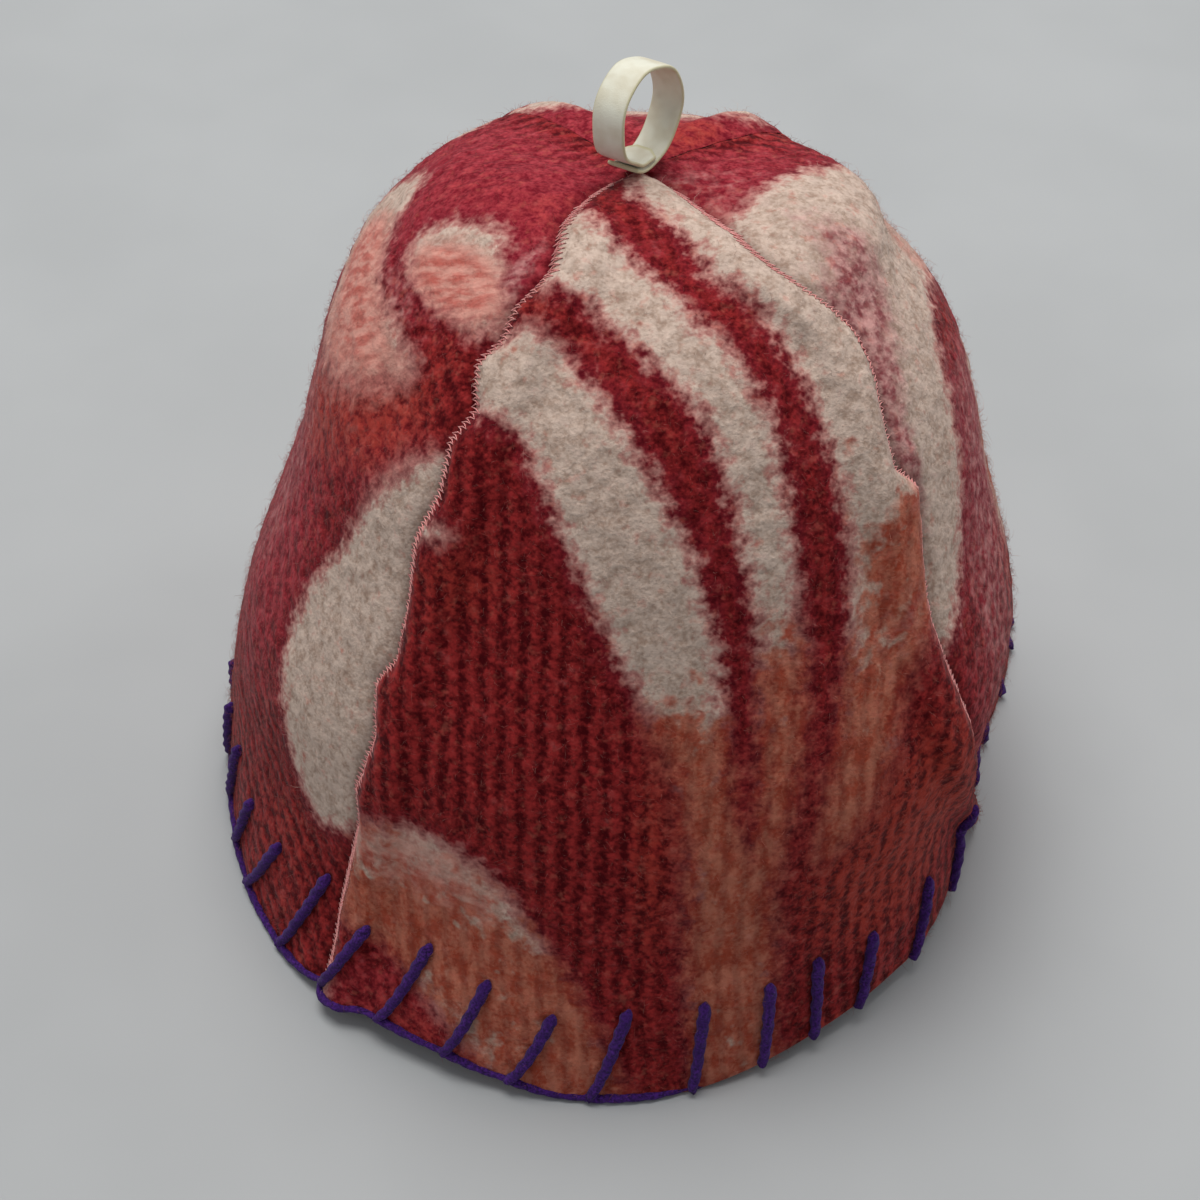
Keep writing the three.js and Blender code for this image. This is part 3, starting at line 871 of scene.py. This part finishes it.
def inner_leg(inner, foot, share):
    """Path and radius of a stitch's leg up the inside, whose end sinks into the wool."""
    points = []
    for t in np.linspace(0, 1, 7):
        v = np.array([share + (INSIDE_END - share) * t])
        point, normal = surface(np.radians([inner + (foot - inner) * t]), v)
        depth = WALL + 0.5 * RUN_RADIUS if t else WALL * 0.6
        points.append((point - normal * depth)[0])
    path = smooth_path(points, INSIDE_STEP, INSIDE_LOWEST)
    return path, RUN_RADIUS * 1.1


def make_edging(material, random):
    """Blanket stitches: a leg down the outside, a leg inside and a run along the rim."""
    places = stitch_places(random)
    tubes = []
    for (inner, foot), (_, following) in zip(places, places[1:] + places[:1]):
        share = STITCH_SHARE + random.uniform(-STITCH_UNEVEN, STITCH_UNEVEN)
        for path, radius in (outer_leg(inner, foot, share), rim_run(foot, following),
                             inner_leg(inner, foot, share)):
            tubes.append(tube(path, radius, YARN_SIDES, plies=True))
    new_piece("yarn_edging", *joined(tubes), material, "edging_yarn")


# ---- Tape loop ----
LOOP_STEPS = 150
TAPE_SIDES = 18
TAPE_SQUARENESS = 0.45  # power that squares its section off
POINT_CUT = 0.30  # how far its inner end's corners are cut back (radians)
POINT_FROM = 0.86  # share of its length where that starts
SELVEDGE = 0.93  # share of its half width where its edge's own tone starts
RAW_END = 0.008  # share of its length with that tone, at each end


def squared(wave):
    return np.sign(wave) * np.abs(wave) ** TAPE_SQUARENESS


def make_loop(material):
    """A ring of folded tape whose inner end, cut to a blunt point, lies on the outer one."""
    sweep = 2 * math.pi + TAPE_OVERLAP
    start = -math.pi / 2 - TAPE_OVERLAP / 2
    half_width, half_thick = TAPE_WIDTH / 2, TAPE_THICKNESS / 2
    turns = 2 * math.pi * np.arange(TAPE_SIDES) / TAPE_SIDES
    across = half_width * squared(np.cos(turns))
    outward = half_thick * squared(np.sin(turns))
    edge = np.abs(across) > SELVEDGE * half_width
    points, marks = [], []
    for share in np.arange(LOOP_STEPS + 1) / LOOP_STEPS:
        turned = sweep * share
        step = smoothstep(turned, 2 * math.pi - TAPE_STEP, 2 * math.pi)
        cut = POINT_CUT * np.abs(across / half_width) * smoothstep(share, POINT_FROM, 1.0)
        angle = start + turned - cut
        soft = 1 + 0.018 * math.sin(3 * turned + 0.6) + 0.010 * math.sin(7 * turned)
        inset = half_thick + (TAPE_THICKNESS + LAYER_GAP) * step
        radius = (LOOP_RADIUS - inset) * soft + outward
        drift = 0.25 * MM * math.sin(2 * turned)
        ring = (radius * np.cos(angle), across + drift, radius * np.sin(angle))
        points.append(np.stack(ring, -1))
        marks.append(edge | (share < RAW_END) | (share > 1 - RAW_END))
    faces = grid_faces(LOOP_STEPS, TAPE_SIDES, ring=True)
    faces.append(range(TAPE_SIDES))
    faces.append(range((LOOP_STEPS + 1) * TAPE_SIDES - 1, LOOP_STEPS * TAPE_SIDES - 1, -1))
    turn = Matrix.Rotation(LOOP_TURN + math.pi / 2, 3, "Z")
    lean = Matrix.Rotation(-CROWN_LEAN, 3, "X")
    placed = np.concatenate(points) @ np.array(lean @ turn).T + SHIFT + LOOP_CENTRE
    piece = new_piece("tape_loop", placed, faces, material, "loop_tape", {"cut": marks})
    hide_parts("hanging_loop")


# ---- Materials ----
def srgb(red, green, blue):
    """A colour given as 0 to 255, as the linear one that a shader takes."""
    def linear(c):
        c = c / 255
        return c / 12.92 if c <= 0.04045 else ((c + 0.055) / 1.055) ** 2.4
    return (linear(red), linear(green), linear(blue), 1)


class Graph:
    """A material with short calls for the nodes that are used here."""

    def __init__(self, name):
        self.material = bpy.data.materials.new(name)
        self.material.use_nodes = True
        self.tree = self.material.node_tree
        self.tree.nodes.clear()
        self.place = self.add("ShaderNodeTexCoord", {}, "Object")

    def put(self, value, socket):
        if isinstance(value, bpy.types.NodeSocket):
            self.tree.links.new(value, socket)
        else:
            socket.default_value = value

    def add(self, kind, inputs, output=0, **settings):
        """Adds a node with these inputs and settings, and gives its output."""
        node = self.tree.nodes.new(kind)
        for key, value in settings.items():
            setattr(node, key, value)
        for key, value in inputs.items():
            self.put(value, node.inputs[key])
        return node.outputs[output]

    def math(self, operation, *values):
        return self.add("ShaderNodeMath", dict(enumerate(values)), operation=operation)

    def sum(self, total, *values):
        for value in values:
            total = self.math("ADD", total, value)
        return total

    def scaled(self, value, factor, offset=0.0):
        return self.math("MULTIPLY_ADD", value, factor, offset)

    def varied(self, value, *noises):
        """A value plus noises centred on 0, each given with its whole range."""
        return self.sum(value, *(self.scaled(noise, span, -span / 2) for noise, span in noises))

    def mix(self, factor, a, b):
        return self.add("ShaderNodeMix", {"Factor": factor, 6: a, 7: b}, 2, data_type="RGBA")

    def attribute(self, name):
        return self.add("ShaderNodeAttribute", {}, "Fac", attribute_name=name)

    def noise(self, size, detail=2.0, roughness=0.55, vector=None):
        """Noise whose grains are about the given size, 0 to 1."""
        inputs = {"Vector": vector or self.place, "Scale": 1 / size, "Detail": detail,
                  "Roughness": roughness}
        return self.add("ShaderNodeTexNoise", inputs, "Fac")

    def ramp(self, value, low, high, out_low=0.0, out_high=1.0):
        inputs = dict(enumerate((value, low, high, out_low, out_high)))
        return self.add("ShaderNodeMapRange", inputs, interpolation_type="SMOOTHSTEP")

    def stretched(self, across, down, detail):
        """Noise with this many grains in a mm across the cloth and down it."""
        x = self.scaled(self.attribute("across"), across)
        y = self.scaled(self.attribute("down"), down)
        return self.noise(1.0, detail, vector=self.add("ShaderNodeCombineXYZ", {0: x, 1: y}))

    def toned(self, value, low, high, a, b, *shares):
        """Colour a turning to b as the value goes from low to high, or to shares of b."""
        return self.mix(self.ramp(value, low, high, *shares), a, b)

    def bump(self, height, distance, strength=1.0):
        inputs = {"Height": height, "Distance": distance, "Strength": strength}
        return self.add("ShaderNodeBump", inputs)

    def finish(self, colour, roughness, others):
        inputs = {"Base Color": colour, "Roughness": roughness, **others}
        shader = self.add("ShaderNodeBsdfPrincipled", inputs)
        output = self.tree.nodes.new("ShaderNodeOutputMaterial")
        self.put(shader, output.inputs["Surface"])
        return self.material


CREAM_LIGHT = srgb(215, 192, 177)
CREAM_DEEP = srgb(168, 141, 125)
CREAM_PINK = srgb(200, 138, 130)
CORAL_DEEP = srgb(160, 58, 34)
CORAL_PALE = srgb(192, 110, 86)
BLUSH_DEEP = srgb(190, 88, 78)
BLUSH_PALE = srgb(222, 156, 142)
MAUVE_DEEP = srgb(132, 34, 52)
MAUVE_PALE = srgb(204, 148, 144)
RED_DEEP = srgb(78, 8, 15)
RED_LIGHT = srgb(166, 48, 48)
ROSE_DEEP = srgb(118, 18, 34)
ROSE_LIGHT = srgb(186, 66, 76)
EMBER = srgb(178, 66, 50)
FLECK = srgb(206, 108, 92)
# painted shade: the dark red that the corner of a lap is mixed towards
PAINTED_SHADE = srgb(44, 10, 12)


def wool_marks(g):
    """The attributes of the wool's mesh, and the noises that its colours share.

    pale: mm inside a pale patch. coral, rose, ember, mauve, blush: how much of each stain.
    across, down: place in the cloth in mm. shade: painted shade that darkens the corner of a lap.
    """
    names = ("pale", "across", "down", "shade", "coral", "rose", "ember", "mauve", "blush")
    marks = {name: g.attribute(name) for name in names}
    return SimpleNamespace(**marks, grain=g.noise(1.1 * MM, 3), tuft=g.noise(3.4 * MM, 2),
                           drift=g.noise(8 * MM, 2))


def knit_pattern(g, m, rosy):
    """The ribs, bent by the fulling, and how light the knitted ground is, 0 to 1."""
    bent_across = g.varied(m.across, (m.drift, 4.0), (m.tuft, 1.6))
    bent_down = g.varied(m.down, (m.tuft, 3.0))
    ribs = g.math("COSINE", g.scaled(bent_across, 2 * math.pi * MM / RIB_PITCH))
    courses = g.math("COSINE", g.scaled(bent_down, 2 * math.pi * MM / COURSE_PITCH))
    eyes = g.math("MULTIPLY", ribs, courses)
    strength = g.math("MULTIPLY", g.scaled(rosy, -0.7, 1.0),
                      g.ramp(m.pale, -14.0, -3.0, 1.0, 0.25))
    woven = g.math("MULTIPLY", g.sum(g.scaled(ribs, 0.17), g.scaled(eyes, 0.11)), strength)
    knit = g.varied(g.sum(woven, g.scaled(m.grain, 1.1, -0.05)), (m.tuft, 0.9))
    return ribs, g.ramp(knit, 0.15, 0.95)


def red_ground(g, m, rosy, knit):
    """Red, or rose, with orange loops that show through."""
    dark = g.mix(rosy, RED_DEEP, ROSE_DEEP)
    light = g.mix(rosy, RED_LIGHT, ROSE_LIGHT)
    ember = g.math("MULTIPLY", m.ember, g.scaled(knit, 0.6, 0.4))
    ember = g.varied(ember, (m.tuft, 0.6))
    return g.toned(ember, 0.1, 0.8, g.mix(knit, dark, light), EMBER, 0, 0.7)


def pale_wool(g, m, edge, ribs):
    """Cream that is pinker at its edge, or coral where it is stained."""
    streaks = g.stretched(0.24, 0.12, 2)
    blots = g.sum(g.scaled(streaks, 0.7), g.scaled(m.grain, 0.3))
    coral = g.toned(blots, 0.38, 0.62, CORAL_DEEP, CORAL_PALE)
    coral = g.toned(ribs, -1.0, 0.4, coral, RED_DEEP, 0.22, 0)
    curls = g.sum(g.scaled(m.grain, 0.45), g.scaled(m.tuft, 0.55))
    cream = g.toned(curls, 0.3, 0.62, CREAM_DEEP, CREAM_LIGHT)
    cream = g.toned(edge, 0.5, 4.5, cream, CREAM_PINK, 0.8, 0)
    stained = g.ramp(g.varied(m.coral, (m.tuft, 1.3), (m.drift, 1.3)), 0.22, 0.76)
    return g.mix(g.scaled(stained, 0.94), cream, coral)


def wool_colour(g):
    """The wool's colour, how light its knit is and its finest noise."""
    m = wool_marks(g)
    rosy = g.ramp(g.varied(m.rose, (m.tuft, 0.6)), 0.15, 0.85)
    ribs, knit = knit_pattern(g, m, rosy)
    edge = g.varied(m.pale, (m.grain, 3.6), (m.tuft, 12.0))
    softness = g.sum(g.scaled(m.coral, 1.3, 1.3), g.scaled(m.blush, 2.0), g.scaled(m.ember, 3.0))
    mask = g.ramp(g.math("DIVIDE", edge, softness), -2.0, 1.9)
    ground = g.toned(edge, -7.0, -1.0, red_ground(g, m, rosy, knit), MAUVE_DEEP, 0, 0.35)
    colour = g.mix(mask, ground, pale_wool(g, m, edge, ribs))
    # mauve, and blush: loose mixed wool of both colours
    mauve = g.toned(g.noise(2.6 * MM, 2), 0.34, 0.66, MAUVE_DEEP, MAUVE_PALE)
    colour = g.toned(g.varied(m.mauve, (m.tuft, 1.1)), 0.05, 1.05, colour, mauve, 0, 0.9)
    mottle = g.stretched(0.14, 0.26, 3)
    blush = g.toned(mottle, 0.34, 0.64, BLUSH_DEEP, BLUSH_PALE)
    blushed = g.varied(g.math("MULTIPLY", m.blush, g.scaled(mask, 0.75, 0.25)), (mottle, 0.8))
    colour = g.toned(blushed, 0.15, 0.85, colour, blush, 0, 0.92)
    # stray pale fibres, and painted shade in the corner of a lap
    colour = g.toned(g.noise(3.2 * MM, 2), 0.58, 0.74, colour, FLECK, 0, 0.26)
    return g.mix(g.scaled(m.shade, 0.5), colour, PAINTED_SHADE), knit, m.grain


def wool_material():
    g = Graph("fulled_blanket_wool")
    colour, knit, grain = wool_colour(g)
    fluff = g.noise(0.7 * MM, 3, 0.6)
    lumps = g.noise(3.0 * MM, 2)
    # painted shade: the colour is up to 14% darker in the hollows of the lumps that the bump
    # raises
    colour = g.toned(lumps, 0.3, 0.7, g.mix(0.14, colour, (0, 0, 0, 1)), colour)
    height = g.sum(g.scaled(fluff, 0.22), lumps, g.scaled(knit, 0.28))
    return g.finish(colour, g.ramp(grain, 0.3, 0.7, 0.9, 1.0), {
        "Normal": g.bump(height, 0.9 * MM, 0.6), "Sheen Weight": 0.1, "Sheen Roughness": 0.4,
        "Specular IOR Level": 0.04})


def fibre_material():
    g = Graph("wool_fibres")
    colour, _, grain = wool_colour(g)
    colour = g.toned(g.noise(2 * MM), 0.3, 0.7, colour, srgb(216, 176, 164), 0.05, 0.28)
    return g.finish(colour, g.ramp(grain, 0.3, 0.7, 0.85, 0.98), {"Specular IOR Level": 0.06})


def thread_material():
    g = Graph("pink_thread")
    spun = g.noise(0.5 * MM, 2)
    colour = g.toned(spun, 0.3, 0.7, srgb(212, 116, 118), srgb(242, 178, 170))
    return g.finish(colour, g.ramp(spun, 0.3, 0.7, 0.55, 0.75), {
        "Normal": g.bump(spun, 0.1 * MM), "Sheen Weight": 0.1})


def yarn_material():
    g = Graph("purple_yarn")
    wool = g.noise(0.7 * MM, 3, 0.6)
    colour = g.toned(wool, 0.3, 0.7, srgb(34, 12, 60), srgb(86, 42, 134))
    colour = g.toned(g.noise(6 * MM, 2), 0.35, 0.65, colour, srgb(54, 22, 90), 0, 0.5)
    return g.finish(colour, g.ramp(wool, 0.3, 0.7, 0.75, 0.95), {
        "Normal": g.bump(wool, 0.35 * MM), "Sheen Weight": 0.08, "Specular IOR Level": 0.12})


def tape_material():
    g = Graph("cotton_tape")
    weave = g.noise(0.45 * MM, 2)
    colour = g.toned(g.noise(7 * MM, 2), 0.35, 0.7, srgb(228, 226, 209), srgb(212, 205, 183))
    colour = g.mix(g.scaled(g.attribute("cut"), 0.55), colour, srgb(200, 192, 136))
    return g.finish(colour, g.ramp(weave, 0.3, 0.7, 0.5, 0.68), {
        "Normal": g.bump(weave, 0.08 * MM), "Sheen Weight": 0.1, "Specular IOR Level": 0.3})


def floor_material():
    g = Graph("pale_floor")
    mottle = g.noise(0.12, 3)
    colour = g.toned(mottle, 0.3, 0.7, srgb(176, 178, 179), srgb(181, 183, 184))
    return g.finish(colour, g.ramp(mottle, 0.3, 0.7, 0.75, 0.85), {"Specular IOR Level": 0.2})


# ---- Pieces ----
def make_hat():
    random = np.random.default_rng(7)
    wool, fibres = wool_material(), fibre_material()
    for name in GORES:
        make_gore(name, wool)
        make_fuzz(name, fibres, random)
    thread = thread_material()
    for name in ("front_gore", "back_gore"):
        first, second = GORES[name]["seams"]
        make_zigzag(first, name, 1, thread, random)
        make_zigzag(second, name, -1, thread, random)
    make_edging(yarn_material(), random)
    make_loop(tape_material())


# ---- Floor, light and camera ----
def make_stage():
    size = 4.0
    mesh = bpy.data.meshes.new("floor")
    corners = [(-size, -size, 0), (size, -size, 0), (size, size, 0), (-size, size, 0)]
    mesh.from_pydata(corners, [], [(0, 1, 2, 3)])
    mesh.materials.append(floor_material())
    floor = bpy.data.objects.new("floor", mesh)
    bpy.context.scene.collection.objects.link(floor)
    world = bpy.data.worlds.new("soft_room")
    world.use_nodes = True
    background = world.node_tree.nodes["Background"]
    background.inputs["Color"].default_value = (0.86, 0.90, 0.94, 1)
    background.inputs["Strength"].default_value = 0.3
    bpy.context.scene.world = world


def make_light(name, place, target, size, power, colour):
    data = bpy.data.lights.new(name, "AREA")
    data.shape = "DISK"
    data.size = size
    data.energy = power
    data.color = colour
    light = bpy.data.objects.new(name, data)
    light.location = place
    direction = np.array(target) - np.array(place)
    light.rotation_euler = (
        math.acos(-direction[2] / np.linalg.norm(direction)),
        0,
        math.atan2(direction[0], -direction[1]) + math.pi,
    )
    bpy.context.scene.collection.objects.link(light)


def make_lights():
    middle = (0, 0, 0.12)
    make_light("window", (-0.2, 0.5, 2.2), middle, 1.8, 43, (1.0, 0.99, 0.97))
    make_light("fill", (-1.05, -0.65, 0.85), middle, 0.9, 1.3, (1.0, 0.97, 0.95))
    make_light("side", (1.1, 0.35, 0.6), middle, 0.8, 2.6, (1.0, 0.98, 0.97))


CAMERA_FROM_APEX = np.array((-8.8, -516.6, 557.7)) * MM  # from the floor under the apex
CAMERA_DOWN = math.radians(44.82)
CAMERA_AZIMUTH = math.radians(0.18)
CAMERA_ROLL = math.radians(0.63)


def make_camera():
    data = bpy.data.cameras.new("camera")
    data.lens = 72
    data.sensor_width = 36
    data.clip_start = 0.01
    camera = bpy.data.objects.new("camera", data)
    camera.matrix_world = (
        Matrix.Translation(CAMERA_FROM_APEX + SHIFT)
        @ Matrix.Rotation(-CAMERA_AZIMUTH, 4, "Z")
        @ Matrix.Rotation(math.pi / 2 - CAMERA_DOWN, 4, "X")
        @ Matrix.Rotation(CAMERA_ROLL, 4, "Z")
    )
    bpy.context.scene.collection.objects.link(camera)
    bpy.context.scene.camera = camera


bpy.context.scene.view_settings.view_transform = "Standard"
make_camera()
make_stage()
make_lights()
make_hat()
